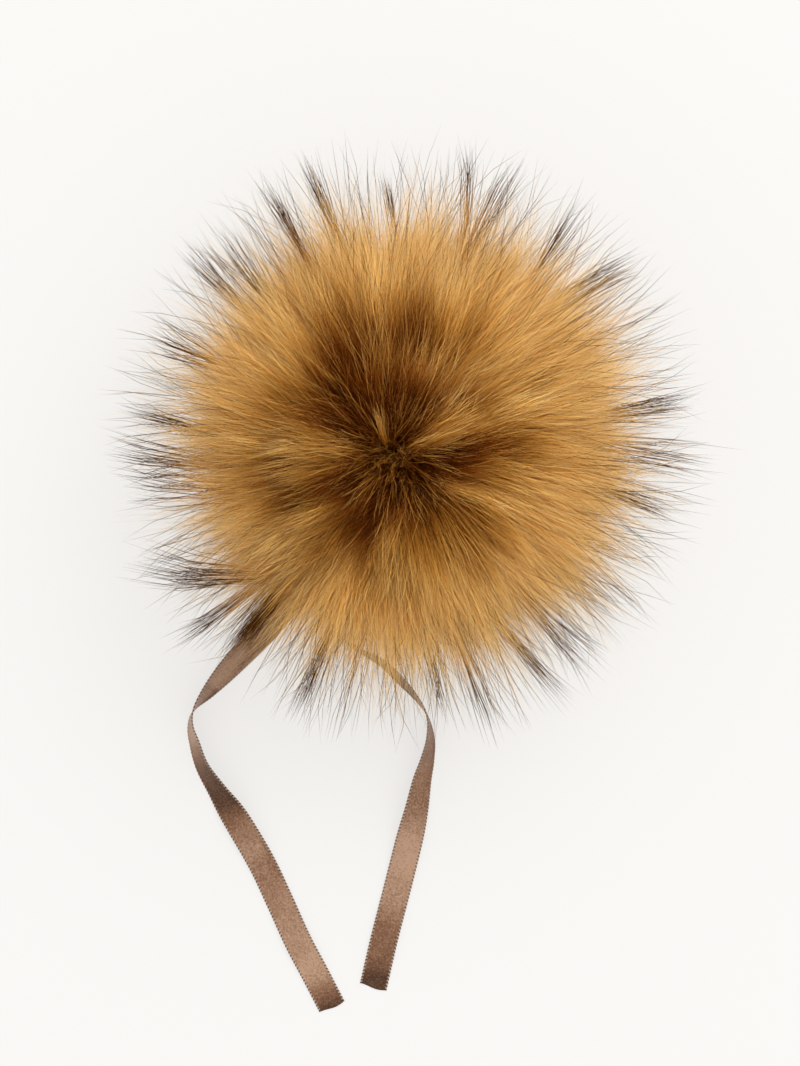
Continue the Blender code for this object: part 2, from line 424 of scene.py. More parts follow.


# Where the photograph shows the pile lighter or darker: a streak from pixel to pixel, how wide it
# is in pixels, and its tone.
# The dark streaks are painted shade in the gaps between locks, partly their darker roots; the light
# ones are lighter locks and strands.
STREAKS_AND_SHADE = (
    (377, 423, 322, 318, 32, -0.40),
    (384, 401, 418, 310, 34, -0.29),
    (430, 400, 480, 320, 26, -0.16),
    (440, 300, 500, 250, 44, -0.12),
    (500, 330, 560, 290, 40, -0.10),
    (350, 418, 262, 390, 20, -0.32),
    (421, 466, 516, 436, 18, -0.26),
    (405, 482, 490, 560, 26, -0.19),
    (410, 305, 410, 222, 38, -0.20),
    (462, 405, 557, 350, 36, -0.14),
    (338, 400, 263, 352, 26, 0.12),
    (350, 539, 302, 621, 34, -0.12),
    (430, 560, 480, 590, 44, -0.10),
    (410, 590, 410, 640, 30, -0.06),
    (557, 520, 600, 545, 28, 0.10),
    (370, 500, 362, 556, 9, -0.28),
    (360, 476, 296, 493, 19, -0.34),
    (338, 500, 300, 560, 18, -0.12),
    (412, 465, 428, 468, 8, -0.44),
    (389, 486, 394, 508, 8, -0.36),
    (414, 480, 420, 488, 7, -0.22),
    (408, 426, 402, 438, 7, -0.40),
    (386, 454, 370, 474, 14, 0.05),
    (368, 514, 366, 540, 8, -0.24),
    (349, 442, 225, 440, 8, 0.26),
    (404, 452, 560, 385, 9, 0.34),
    (440, 400, 590, 300, 20, 0.12),
    (380, 312, 362, 220, 8, 0.30),
    (443, 484, 520, 508, 8, 0.38),
    (384, 532, 396, 590, 10, 0.38),
    (322, 510, 225, 552, 10, 0.30),
    (340, 560, 322, 640, 12, 0.15),
    (300, 330, 250, 300, 12, 0.18),
    (470, 545, 540, 600, 9, 0.18),
)


def painted_streak_tone(p, streaks, height):
    """The streaks' tone at points, for streaks that the photograph shows at that height."""
    # Streaks below zero paint shade, and on the satin those above zero paint sheen.
    tone = np.zeros(p.shape[:-1])
    for x1, y1, x2, y2, width, strength in streaks:
        a, b = seen_at(x1, y1, height), seen_at(x2, y2, height)
        t = np.clip((p[..., :2] - a) @ (b - a) / np.sum((b - a) ** 2), 0, 1)
        off = np.sum((p[..., :2] - a - t[..., None] * (b - a)) ** 2, axis=-1)
        tone += strength * np.exp(-off / (width * PIXEL) ** 2)
    return tone


class Locks:
    """Locks of pile in two sizes: a hair closes in on its small lock, and that on a large one."""

    def __init__(self, large, small):
        self.large = sphere_directions(large)
        self.small = sphere_directions(small)
        self.large_of_small = nearest(self.small, self.large)
        self.large_crown = unit(CROWN + RNG.normal(0, 0.05, (large, 3)))
        self.large_sway = RNG.normal(0, 0.07, large)
        self.large_reach = RNG.uniform(0.94, 1.05, large)
        self.large_pull = RNG.uniform(0.10, 0.50, large)
        self.large_tone = RNG.normal(0, 0.13, large)
        self.small_crown = self.large_crown[self.large_of_small] + RNG.normal(0, 0.03, (small, 3))
        self.small_sway = RNG.normal(0, 0.06, small)
        self.small_reach = RNG.uniform(0.92, 1.05, small)
        self.small_pull = RNG.uniform(0.25, 0.85, small)
        self.small_tone = RNG.normal(0, 0.11, small)

    def routes(self, d, reach, s, loose, own_sway=0.04):
        """Routes of hairs from roots d, and each one's tone from its locks."""
        small = nearest(d, self.small)
        large = self.large_of_small[small]
        reach = np.minimum(reach * self.large_reach[large] * self.small_reach[small], FULL_REACH)
        sway = self.large_sway[large] + self.small_sway[small]
        own = sway + RNG.normal(0, own_sway, len(d)) + loose * RNG.normal(0, 0.16, len(d))
        crown = unit(self.small_crown[small] + RNG.normal(0, 0.035, (len(d), 3)))
        p = hair_route(d, crown, reach, own, s)
        t = s[None, :, None]
        pull = (self.small_pull[small] * (1 - loose))[:, None, None] * t
        lock = hair_route(self.small[small], unit(self.small_crown[small]), reach, sway, s)
        p = lerp(p, lock, pull)
        pull = (self.large_pull[large] * (1 - loose))[:, None, None] * t**1.3
        sway = self.large_sway[large]
        lock = hair_route(self.large[large], self.large_crown[large], reach, sway, s)
        p = lerp(p, lock, pull)
        return p, self.large_tone[large] + self.small_tone[small]


def waved(p, s, size):
    """Sets hairs in a slight wave of that size, growing from the root."""
    tangent = unit(p[:, -1] - p[:, 0])
    side = unit(np.cross(tangent, unit(RNG.normal(size=tangent.shape))))
    turns = RNG.uniform(0.5, 1.4, len(p))[:, None]
    phase = RNG.uniform(0, 2 * math.pi, (len(p), 1))
    wave = np.sin(2 * math.pi * turns * s + phase) * s * size * RNG.uniform(0.3, 1, (len(p), 1))
    p = p + side[:, None] * wave[..., None]
    p[..., 2] = np.maximum(p[..., 2], HAIR_CLEARANCE)
    return p


# --- hair pieces ---


def hair_mesh(name, p, along, width, profile, tone, material):
    """Three-sided tapering hairs along the routes p, as one mesh.

    along: where each point of a hair is on its colour ramp; width: each hair's widest; profile:
    shares of that at each point but the tip; tone: the first UV, one or more for each hair.
    """
    count, rings = p.shape[:2]
    tangent = unit(np.gradient(p, axis=1))
    out = unit(p - BALL)
    side = unit(np.cross(tangent, out + 0.35 * unit(RNG.normal(size=(count, 1, 3)))))
    up = np.cross(side, tangent)
    turn = RNG.uniform(0, 2 * math.pi, (count, 1))
    radius = width[:, None] * 0.5 * np.asarray(profile)
    ring = []
    for k in range(3):
        a = turn + k * 2 * math.pi / 3
        outwards = np.cos(a)[..., None] * side + np.sin(a)[..., None] * up
        ring.append(p[:, :-1] + outwards[:, :-1] * radius[..., None])
    tube = np.stack(ring, axis=2).reshape(count, -1, 3)
    points = np.concatenate([tube, p[:, -1:]], axis=1)
    points[..., 2] = np.maximum(points[..., 2], CLEARANCE)
    each = points.shape[1]
    quad, triangle = [], []
    for k in range(3):
        n = (k + 1) % 3
        for r in range(0, 3 * (rings - 2), 3):
            quad.append((r + k, r + n, r + 3 + n, r + 3 + k))
        triangle.append((each - 4 + k, each - 4 + n, each - 1))
    base = (np.arange(count) * each)[:, None, None]
    quads = (np.array(quad)[None] + base).reshape(-1, 4)
    triangles = (np.array(triangle)[None] + base).reshape(-1, 3)
    tone = np.broadcast_to(tone if tone.ndim == 2 else tone[:, None], (count, rings))
    uv = np.empty((count, each, 2))
    uv[..., 0] = np.append(np.repeat(tone[:, :-1], 3, axis=1), tone[:, -1:], axis=1)
    uv[..., 1] = np.append(np.repeat(along[:-1], 3), along[-1])
    uv = np.clip(uv, *UV_RANGE).reshape(-1, 2)
    uvs = {"strand": uv, "OFBake": uv}
    piece = mesh_object(name, points.reshape(-1, 3), (quads, triangles), uvs, material)
    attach(piece, "root")
    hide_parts("fur_pompom")


def hair_pieces(name, pieces, p, along, width, profile, tone, material):
    """The same, as several pieces of so many hairs each."""
    each = len(p) // pieces
    for k in range(pieces):
        own = slice(k * each, (k + 1) * each)
        hair_mesh(f"{name}_{k + 1}", p[own], along, width[own], profile, tone[own], material)


def pile_density(d):
    """Hairs stand closer near the crown, where the comb spreads them, and farther apart low down."""
    angle = np.arccos(np.clip(d @ CROWN, -1, 1))
    polar = np.arccos(np.clip(d[:, 2], -1, 1))
    near = 1 + 22 * np.exp(-((angle / math.radians(8.5)) ** 2))
    near += 2 * np.exp(-((angle / math.radians(22)) ** 2))
    near *= np.where(polar > math.radians(118), 0.5, 1)
    return near * (polar < BARE_POLAR)


def beginning_at(start, lowest=-1):
    """The same, without hairs nearer the crown than that cosine, or with a lower Z than that."""
    return lambda d: pile_density(d) * (d @ CROWN < start) * (d[:, 2] > lowest)


def place_tone_and_shade(p):
    """How light the pile is by place: dark brown at the crown, partly dye and partly painted shade,
    golden from its shoulder on.
    """
    above = smoothstep(BALL[2], BALL[2] + 25 * MM, p[..., 2])
    by_angle = smoothstep(math.radians(12), math.radians(68), crown_angle(p))
    return CROWN_DYE_AND_SHADE_TONE + 0.79 * by_angle + painted_streak_tone(p, STREAKS_AND_SHADE, PILE_TOP_HEIGHT) * above


def make_pile(locks, material):
    """The pile: short fine underfur, then longer hair in locks. Returns the routes of both."""
    s = np.array([0.0, 0.5, 1.0])
    count, usual = UNDERFUR
    d = sphere_directions(count, pile_density)
    RNG.shuffle(d)
    reach = reaching(usual, RNG.triangular(0.5, 0.9, 1.3, count))
    p, tone = locks.routes(d, reach, s, RNG.uniform(0, 1.0, count), own_sway=0.07)
    underfur = waved(p, s, 1.2 * MM)
    tone = place_tone_and_shade(underfur) + (tone + RNG.normal(0, 0.06, count))[:, None]
    width = RNG.uniform(0.09, 0.16, count) * MM
    hair_pieces("underfur", 2, underfur, s, width, (1.0, 0.9), tone, material)

    s = np.array([0.0, 0.38, 0.72, 1.0])
    count, usual = LOCK_HAIR
    d = sphere_directions(count, pile_density)
    RNG.shuffle(d)
    reach = reaching(usual, RNG.triangular(0.6, 0.95, 1.4, count))
    loose = np.where(RNG.random(count) < 0.10, 1.0, RNG.uniform(0, 0.4, count))
    p, tone = locks.routes(d, reach, s, loose)
    p = waved(p, s, 1.3 * MM)
    tone = place_tone_and_shade(p) + (1.1 * tone + RNG.normal(0, 0.06, count))[:, None]
    width = RNG.uniform(0.08, 0.16, count) * MM
    hair_pieces("pile", 3, p, s, width, (0.9, 1.0, 0.6), tone, material)
    return underfur, p


def pile_top(hairs):
    """A function that gives how high the pile made of these hairs stands over any place."""
    cell, half = 1.5 * MM, 50  # the size of a square grid's cells, and how many to each side
    side = 2 * half + 1
    steps = (0, 0.33, 0.67, 1)
    p = [lerp(each[:, :-1], each[:, 1:], t).reshape(-1, 3) for each in hairs for t in steps]
    p = np.concatenate(p)
    cells = np.round((p[:, :2] - BALL[:2]) / cell).astype(int) + half
    column = np.clip(cells, 0, 2 * half) @ (side, 1)
    order = np.lexsort((p[:, 2], column))
    column, z = column[order], p[order, 2]
    first, last = (np.searchsorted(column, np.arange(side**2), edge) for edge in ("left", "right"))
    pick = np.clip(np.maximum(last - TOP_COVER, (first + last) // 2), 0, len(z) - 1)
    grid = np.where(last > first, z[pick], 0).reshape(side, side)
    for _ in range(2):
        wide = np.pad(grid, 1, mode="edge")
        grid = sum(wide[i : i + side, j : j + side] for i in range(3) for j in range(3)) / 9

    def top(xy):
        place = np.clip((xy - BALL[:2]) / cell + half, 0, 2 * half - 1.001)
        i, j = np.moveaxis(place.astype(int), -1, 0)
        u, v = np.moveaxis(place % 1, -1, 0)
        before, after = (lerp(grid[i, k], grid[i + 1, k], u) for k in (j, j + 1))
        return lerp(before, after, v)

    return top


def make_fluff(locks):
    """The finest, lightest hairs, which soften the pile's outline."""
    s = np.array([0.0, 0.5, 1.0])
    count, usual = FLUFF_HAIR
    d = sphere_directions(count, beginning_at(FLUFF_START))
    reach = reaching(usual, RNG.triangular(0.42, 0.69, 1.08, count))
    p, tone = locks.routes(d, reach, s, RNG.uniform(0.3, 1.0, count))
    p = waved(p, s, 2.0 * MM)
    tone = place_tone_and_shade(p) + (tone + RNG.normal(0, 0.08, count))[:, None]
    width = RNG.uniform(0.045, 0.08, count) * MM
    hair_mesh("fluff", p, s, width, (0.9, 1.0), tone, fluff_material())


# Locks that lie on top of the pile: the pixels where each begins and ends, its hairs, their
# spread in pixels, and its tone from dark (0) to light (1).
TOP_LOCKS = (
    (398, 458, 530, 396, 170, 11, 0.40),
    (412, 450, 590, 356, 170, 20, 0.45),
    (374, 446, 228, 441, 180, 11, 0.37),
    (352, 440, 262, 428, 70, 10, 0.36),
    (382, 345, 360, 215, 90, 10, 0.66),
    (425, 478, 525, 510, 90, 8, 0.46),
    (388, 505, 397, 620, 130, 12, 0.48),
    (376, 515, 372, 615, 50, 7, 0.38),
    (340, 500, 226, 554, 120, 11, 0.48),
    (352, 512, 288, 605, 80, 12, 0.36),
    (412, 500, 505, 595, 80, 12, 0.34),
    (398, 448, 455, 428, 30, 6, 0.40),
    (420, 400, 500, 290, 60, 16, 0.30),
    (350, 400, 290, 330, 50, 14, 0.28),
)
TOP_LOCK_END_HEIGHT = 78 * MM  # at which the photograph shows their ends


def top_lock_routes(s, top):
    """Hair that rises at a lock's beginning and lies on the pile from there to its end."""
    routes, tones = [], []
    for x1, y1, x2, y2, hairs, spread, tone in TOP_LOCKS:
        a, b = seen_at(x1, y1, PILE_TOP_HEIGHT), seen_at(x2, y2, TOP_LOCK_END_HEIGHT)
        line = b - a
        offset = RNG.normal(0, 0.5 * spread, (hairs, 1)) * PIXEL * crosswise(line)
        begin = RNG.triangular(0.0, 0.1, 0.55, (hairs, 1))
        end = begin + RNG.uniform(0.45, 0.75, (hairs, 1))
        start = a + line * begin + offset * (0.5 + begin)
        tip = a + line * end + offset * (0.8 + end)
        laid = start[:, None] + (tip - start)[:, None] * s[None, 1:, None]
        rise = smoothstep(-0.1, 0.35, s[1:])[None]
        lift = lerp(-4.0, RNG.uniform(-0.9, 0.9, (hairs, 1)), rise) * MM
        height = top(laid) + lift
        foot = BALL[:2] + (start - BALL[:2]) * 0.72
        deep = BALL[2] + np.sqrt(BALL_RADIUS**2 - np.sum((foot - BALL[:2]) ** 2, axis=1))
        root = np.c_[foot, deep][:, None]
        laid = np.concatenate([laid, height[..., None]], axis=2)
        routes.append(np.concatenate([root, laid], axis=1))
        tones.append(lerp(DARK_TONE, 1, tone + RNG.normal(0, 0.18, hairs)))
    return np.concatenate(routes), np.concatenate(tones)


def make_top_locks(top, material):
    """The locks on top of the pile, darker where they rise out of it."""
    s = np.array([0.0, 0.08, 0.25, 0.42, 0.6, 0.8, 1.0])
    p, tone = top_lock_routes(s, top)
    p = waved(p, s, 0.9 * MM)
    tone = tone[:, None] - 0.45 * (1 - smoothstep(0.0, 0.34, s))
    width = RNG.uniform(0.08, 0.14, len(p)) * MM
    profile = (0.8, 1.0, 1.0, 1.0, 0.9, 0.6)
    hair_mesh("top_locks", p, 0.4 + 0.6 * s, width, profile, tone, material)


CROWN_PIXEL = (392, 452)
CROWN_HEIGHT = 82 * MM  # at which the photograph shows the crown
CROWN_TUFT = ((387, 448, 372, 403), (385, 444, 377, 410))  # the light tuft beside it, foot to tip
CROWN_TUFT_TIP_HEIGHT = 86 * MM
CROWN_BED_HAIRS = 800
CROWN_STRAND_HAIRS = 520
CROWN_TUFT_HAIRS = 20  # for each row


def crown_bed(count):
    """Short hairs that grow up round the crown: their roots, knees, tips and tones."""
    d = unit(CROWN + RNG.normal(0, 0.17, (count, 3)))
    aim = unit(d + RNG.normal(0, 0.22, (count, 3)))
    length = RNG.uniform(13, 19, (count, 1)) * MM
    root = BALL + d * BALL_RADIUS
    knee = root + d * length * 0.6
    tip = root + d * length * 0.55 + aim * length * 0.45
    return root, knee, tip, RNG.uniform(0.16, 0.46, count)


def crown_strands(count, top):
    """The same of thin strands that run out from the crown over the pile's top."""
    turn = RNG.uniform(0, 2 * math.pi, count)
    heading = np.c_[np.cos(turn), np.sin(turn)]
    bend = RNG.normal(0, 0.22, (count, 1)) * np.c_[-heading[:, 1], heading[:, 0]]
    near = seen_at(*CROWN_PIXEL, CROWN_HEIGHT) + heading * RNG.uniform(0.5, 6, (count, 1)) * MM
    near = near + RNG.normal(0, 0.8 * MM, (count, 2))
    run = RNG.triangular(4, 9, 20, (count, 1)) * MM
    half, far = near + (heading + bend * 0.4) * run * 0.5, near + (heading + bend) * run
    stand = 18 * MM * RNG.random(count) ** 6  # a few stand up
    root = np.c_[near - heading * 1.5 * MM, top(near) - 9 * MM]
    knee = np.c_[half, top(half) + RNG.uniform(0.4, 2.2, count) * MM + stand * 0.6]
    tip = np.c_[far, np.minimum(top(far) + RNG.uniform(-0.4, 1.6, count) * MM + stand, CAD_TOP)]
    return root, knee, tip, RNG.triangular(0.26, 0.42, 0.78, count)


def crown_tuft(count, row, top):
    """The same of light hairs that stand up and fall over, along a row of CROWN_TUFT."""
    foot, end = seen_at(*row[:2], CROWN_HEIGHT), seen_at(*row[2:], CROWN_TUFT_TIP_HEIGHT)
    scatter = RNG.normal(0, 0.6 * MM, (count, 2))
    far = foot + (end - foot) * RNG.uniform(0.65, 1.1, (count, 1)) + scatter * 1.3
    half = lerp(foot, far, 0.3)
    root = np.c_[foot + scatter * 0.5, top(foot + scatter) - 3 * MM]
    knee = np.c_[half, top(half) + RNG.uniform(6.0, 9.0, count) * MM]
    tip = np.c_[far, top(far) + RNG.uniform(2.5, 5.5, count) * MM]
    return root, knee, tip, RNG.uniform(0.6, 0.9, count)


def make_whorl(top, material):
    """The crown's own hair: a short dark bed, thin strands that run out from it, a light tuft."""
    s = np.array([0.0, 0.4, 0.75, 1.0])
    parts = [crown_bed(CROWN_BED_HAIRS), crown_strands(CROWN_STRAND_HAIRS, top)]
    parts += [crown_tuft(CROWN_TUFT_HAIRS, row, top) for row in CROWN_TUFT]
    root, knee, tip, tone = (np.concatenate(each) for each in zip(*parts))
    p = waved(bent(root, knee, tip, s), s, 0.8 * MM)
    width = RNG.uniform(0.07, 0.12, len(p)) * MM
    # The streaks' painted shade darkens the crown's hair here too.
    tone = tone[:, None] + 0.19 + 0.6 * painted_streak_tone(p, STREAKS_AND_SHADE, PILE_TOP_HEIGHT)
    hair_mesh("whorl", p, s, width, (0.9, 1.0, 0.7), tone, material)


# Tufts of black-tipped guard hair as the photograph shows them: pixels where the black begins
# (x1, y1) and where the tips are (x2, y2), how many hairs, and how wide they spread in pixels.
TUFTS = (
    (293, 232, 266, 180, 34, 8),
    (326, 207, 301, 157, 34, 8),
    (393, 212, 385, 173, 22, 5),
    (471, 190, 461, 141, 22, 13),
    (488, 206, 520, 157, 26, 15),
    (549, 255, 586, 198, 26, 15),
    (580, 284, 645, 253, 30, 14),
    (602, 284, 636, 267, 16, 12),
    (636, 411, 696, 399, 36, 13),
    (636, 448, 722, 462, 34, 18),
    (616, 494, 679, 520, 34, 12),
    (573, 531, 642, 560, 30, 20),
    (578, 584, 622, 623, 30, 20),
    (549, 627, 602, 675, 30, 20),
    (516, 650, 572, 707, 32, 12),
    (472, 684, 499, 743, 26, 18),
    (434, 665, 449, 728, 24, 18),
    (316, 664, 290, 722, 40, 14),
    (262, 604, 228, 648, 40, 16),
    (220, 616, 173, 644, 34, 18),
    (224, 588, 132, 560, 60, 24),
    (176, 494, 125, 478, 30, 24),
    (169, 463, 108, 445, 34, 18),
    (187, 428, 115, 407, 32, 9),
    (189, 351, 150, 330, 32, 15),
    (226, 293, 182, 245, 36, 18),
    (249, 280, 220, 234, 30, 18),
)
TUFT_HEIGHTS = (27, 52)  # mm, of the place where the black begins
TIE_TUFT = (267, 610, 223, 659, 70, 9)  # the tuft that hangs over the left tie, on top of the pile
TIE_TUFT_HEIGHTS = (52, 53)


def tuft_routes(rows, heights, s):
    """Routes that rise through the pile and arch over its rim, and where each one turns black."""
    routes, black = [], []
    for x1, y1, x2, y2, hairs, spread in rows:
        height = RNG.uniform(*heights) * MM
        inner, outer = seen_at(x1, y1, height), seen_at(x2, y2, height)
        line = outer - inner
        offset = RNG.normal(0, 0.32 * spread, hairs)[:, None] * PIXEL * crosswise(line)
        stretch = RNG.triangular(0.35, 0.95, 1.15, hairs)[:, None]
        tip = inner + line * stretch + offset * (0.7 + 0.5 * stretch)
        tip = tip + RNG.normal(0, 0.38 * spread * PIXEL, (hairs, 2))
        knee = inner - line * 0.5 + offset * 0.8
        heading = unit(inner - line * RNG.uniform(0.4, 1.0, (hairs, 1)) - BALL[:2])
        aim = np.append(inner, height + 6 * MM) - BALL
        rise = math.atan2(aim[2], math.hypot(aim[0], aim[1])) + RNG.normal(0.22, 0.10, hairs)
        root = BALL + BALL_RADIUS * np.c_[np.cos(rise)[:, None] * heading, np.sin(rise)]
        knee = np.c_[knee, height + RNG.uniform(5, 11, hairs) * MM]
        tip = np.c_[tip, height + RNG.uniform(-8, 6, hairs) * MM]
        route = bent(root, knee, tip, s)
        routes.append(route)
        out = np.linalg.norm(route[..., :2] - BALL[:2], axis=-1)
        begin = np.linalg.norm(inner - BALL[:2])
        black.append([np.interp(begin, row, s) for row in out])
    return np.concatenate(routes), np.concatenate(black)


def black_from(share):
    """The first UV of a guard hair whose black begins at that share of its length."""
    return 0.5 + (GUARD_BLACK - share) / GUARD_SHIFT


def make_guard_hair(locks):
    """Guard hair: long, short on top, and in tufts. Its tips are black, but not near the crown."""
    material = guard_material()
    s = np.array([0.0, 0.25, 0.5, 0.82, 1.0])
    profile = (0.6, 0.8, 1.0, 1.0)
    count, usual = LONG_GUARD_HAIR
    d = sphere_directions(count, beginning_at(LONG_GUARD_START))
    reach = reaching(usual, RNG.triangular(0.66, 0.97, 1.04, count))
    p, _ = locks.routes(d, reach, s, RNG.uniform(0.35, 0.9, count), own_sway=0.08)
    p = waved(p, s, 2.0 * MM)
    length = np.linalg.norm(np.diff(p, axis=1), axis=2).sum(axis=1)
    begins = (BODY_EDGE - BALL_RADIUS) / length + RNG.normal(0.03, 0.08, count)
    low, high = math.radians(56), math.radians(75)
    begins += 0.4 * (1 - smoothstep(low, high, crown_angle(p[:, -1])))
    width = RNG.uniform(0.070, 0.116, count) * MM
    hair_mesh("guard_hair", p, s, width, profile, black_from(begins), material)

    count, usual = SHORT_GUARD_HAIR
    d = sphere_directions(count, beginning_at(SHORT_GUARD_START, lowest=0))
    reach = reaching(usual, RNG.uniform(0.8, 1.1, count))
    p, _ = locks.routes(d, reach, s, RNG.uniform(0.3, 1.0, count))
    p = waved(p, s, 1.2 * MM)
    low, high = math.radians(20), math.radians(34)
    near_crown = 1 - smoothstep(low, high, crown_angle(p[:, -1]))
    begins = RNG.normal(0.80, 0.07, count) + 0.3 * near_crown
    width = RNG.uniform(0.062, 0.10, count) * MM
    hair_mesh("short_guard_hair", p, s, width, profile, black_from(begins), material)

    tufts = tuft_routes(TUFTS, TUFT_HEIGHTS, s)
    tie_tuft = tuft_routes((TIE_TUFT,), TIE_TUFT_HEIGHTS, s)
    p, begins = (np.concatenate(pair) for pair in zip(tufts, tie_tuft))
    p = waved(p, s, 1.2 * MM)
    begins = begins + RNG.normal(-0.04, 0.09, len(p))
    width = RNG.uniform(0.088, 0.138, len(p)) * MM
    hair_mesh("guard_tufts", p, s, width, profile, black_from(begins), material)


def make_backing():
    """The gathered ball under the pile, with small pleats round its flat neck."""
    rings, around, pleats = 40, 96, 16
    polar = np.linspace(0.02, math.pi - 0.02, rings)
    turn = np.linspace(0, 2 * math.pi, around, endpoint=False)
    low = smoothstep(math.radians(128), math.radians(164), polar)[:, None]
    pleat = 1 + 0.05 * low * np.cos(pleats * turn)[None]
    radius, clear = BALL_RADIUS * 0.985, 0.3 * MM
    flat = np.maximum(radius * np.sin(polar)[:, None] * pleat, clear)
    height = np.repeat((BALL[2] + radius * np.cos(polar))[:, None], around, axis=1)
    height = lerp(height, clear, smoothstep(15 * MM, NECK_RADIUS, flat) * (polar > 2)[:, None])
    x, y = BALL[0] + flat * np.cos(turn), BALL[1] + flat * np.sin(turn)
    points = np.stack([x, y, height], axis=-1).reshape(-1, 3)
    r, a = np.meshgrid(np.arange(rings - 1) * around, np.arange(around), indexing="ij")
    n = (a + 1) % around
    quads = np.stack([r + a, r + around + a, r + around + n, r + n], -1).reshape(-1, 4)
    top, bottom, last = len(points), len(points) + 1, (rings - 1) * around
    a, n = a[0], n[0]
    upper = np.c_[np.full(around, top), a, n]
    lower = np.c_[np.full(around, bottom), last + n, last + a]
    middles = [[BALL[0], BALL[1], points[0, 2]], [BALL[0], BALL[1], points[-1, 2]]]
    points = np.vstack([points, middles])
    uv = np.clip(points[:, [0, 2]] / (80 * MM) + [0.5, 0], 0, 1)
    faces, uvs = (quads, upper, lower), {"strand": uv, "OFBake": uv}
    piece = mesh_object("backing", points, faces, uvs, backing_material())
    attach(piece, "root")
    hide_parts("fur_pompom")


# --- ribbons ---

RIBBON_WIDTH = 6.35 * MM
RIBBON_THICKNESS = 0.34 * MM  # of the corded edges; the CAD's ties are thicker
PICOT_PITCH = 0.8 * MM
PICOT_DEPTH = 0.18 * MM
WEAVE_PITCH = 0.28 * MM
THREADS = 46  # ridges across the ribbon's width
ROW_STEP = 0.27 * MM
CUT_WAVE = 0.3 * MM  # how uneven the cut ends are
CUT_WAVE_LENGTH = 2 * MM  # over how much of the ribbon's length

# Points across the ribbon, from -1 at one edge to 1 at the other, and its thickness there
COLUMNS = np.array([-1, -0.955, -0.90, -0.84, -0.6, -0.3, 0, 0.3, 0.6, 0.84, 0.90, 0.955, 1])
THICKNESSES = np.array([0.30, 1.0, 0.85, 0.45, 0.42, 0.45, 0.48, 0.45, 0.42, 0.45, 0.85, 1.0, 0.30])
COLUMNS_ROUND = np.concatenate([COLUMNS, COLUMNS[::-1]])  # over the upper face, back on the lower

# The routes that the CAD has: x, y in mm; twist in degrees; lift of the lower edge in mm
LEFT_TIE = (
    (-7.1, -8.6, 0, 2.85),
    (-13.2, -17.0, 2, 0.7),
    (-19.0, -25.6, 8, 0.2),
    (-25.4, -34.8, 18, 0.0),
    (-32.2, -43.8, 27, 0.0),
    (-39.7, -51.5, 35, 0.0),
    (-45.4, -57.8, 60, 0.0),
    (-48.9, -62.2, 88, 0.0),
    (-49.7, -65.8, 101, 0.0),
    (-48.8, -69.8, 112, 0.0),
    (-47.0, -75.2, 120, 0.0),
    (-43.4, -81.0, 136, 0.3),
    (-39.1, -87.6, 168, 1.0),
    (-33.6, -97.1, 180, 0.4),
    (-29.4, -106.0, 180, 0.2),
    (-25.4, -114.8, 180, 0.6),
    (-21.4, -122.4, 180, 0.3),
    (-17.5, -130.0, 180, 0.0),
)
RIGHT_TIE = (
    (1.6, -12.6, 0, 1.2),
    (-2.9, -18.4, 0, 0.7),
    (-7.4, -24.0, -6, 0.2),
    (-12.0, -30.2, -22, 0.0),
    (-16.2, -36.6, -56, 0.0),
    (-17.7, -41.3, -76, 0.0),
    (-15.9, -45.5, -86, 0.0),
    (-11.8, -48.6, -82, 0.0),
    (-6.4, -51.6, -75, 0.0),
    (-2.2, -55.6, -73, 0.0),
    (1.8, -60.1, -82, 0.0),
    (4.0, -64.0, -92, 0.0),
    (4.6, -68.9, -107, 0.0),
    (3.9, -73.6, -120, 0.0),
    (2.7, -78.4, -133, 0.2),
    (1.4, -85.2, -150, 0.9),
    (-0.7, -94.0, -176, 0.8),
    (-3.2, -104.0, -180, 0.3),
    (-5.9, -114.5, -180, 0.5),
    (-8.4, -125.4, -180, 0.0),
)


def smooth_table(rows, steps):
    """Catmull-Rom through the table's rows."""
    rows = np.array(rows, float)
    padded = np.vstack([rows[:1], rows, rows[-1:]])
    t = (np.arange(steps) / steps)[:, None]
    out = []
    for i in range(len(rows) - 1):
        a, b, c, d = padded[i : i + 4]
        square, cube = 2 * a - 5 * b + 4 * c - d, 3 * b - a - 3 * c + d
        out.append(0.5 * (2 * b + (c - a) * t + square * t**2 + cube * t**3))
    return np.vstack(out + [rows[-1:]])


def tie_route(rows, thickness, steps):
    """The ribbon's middle line and its twist, for a ribbon of that thickness."""
    table = smooth_table(rows, steps)
    twist = np.radians(table[:, 2])
    lift = np.maximum(0, table[:, 3]) * MM + CLEARANCE
    half = np.abs(np.sin(twist)) * RIBBON_WIDTH / 2 + np.abs(np.cos(twist)) * thickness / 2
    return np.c_[table[:, :2] * MM, lift + half], twist


def lengths_along(p):
    return np.concatenate([[0], np.cumsum(np.linalg.norm(np.diff(p, axis=0), axis=1))])


# How light the satin looks along each ribbon: the photograph's pixels and the tone there
# Their tones are painted sheen and shade: the light and dark bands of the satin's gloss.
LEFT_SHEEN = (
    (262, 640, 0.40),
    (240, 652, 0.84),
    (222, 672, 0.88),
    (206, 692, 0.66),
    (194, 712, 0.80),
    (193, 735, 0.95),
    (198, 752, 0.66),
    (205, 770, 0.24),
    (220, 792, 0.08),
    (228, 804, 0.10),
    (236, 816, 0.36),
    (243, 828, 0.58),
    (256, 850, 0.76),
    (270, 874, 0.62),
    (286, 906, 0.72),
    (305, 955, 0.84),
    (312, 968, 0.94),
    (317, 978, 0.86),
    (323, 990, 0.52),
    (328, 998, 0.28),
    (332, 1006, 0.06),
)
RIGHT_SHEEN = (
    (398, 672, 0.26),
    (422, 700, 0.42),
    (432, 735, 0.56),
    (432, 760, 0.58),
    (425, 790, 0.56),
    (415, 815, 0.60),
    (405, 840, 0.95),
    (400, 862, 0.98),
    (392, 905, 0.74),
    (384, 938, 0.40),
    (380, 955, 0.42),
    (377, 968, 0.24),
    (374, 980, -0.06),
    (372, 990, -0.20),
)
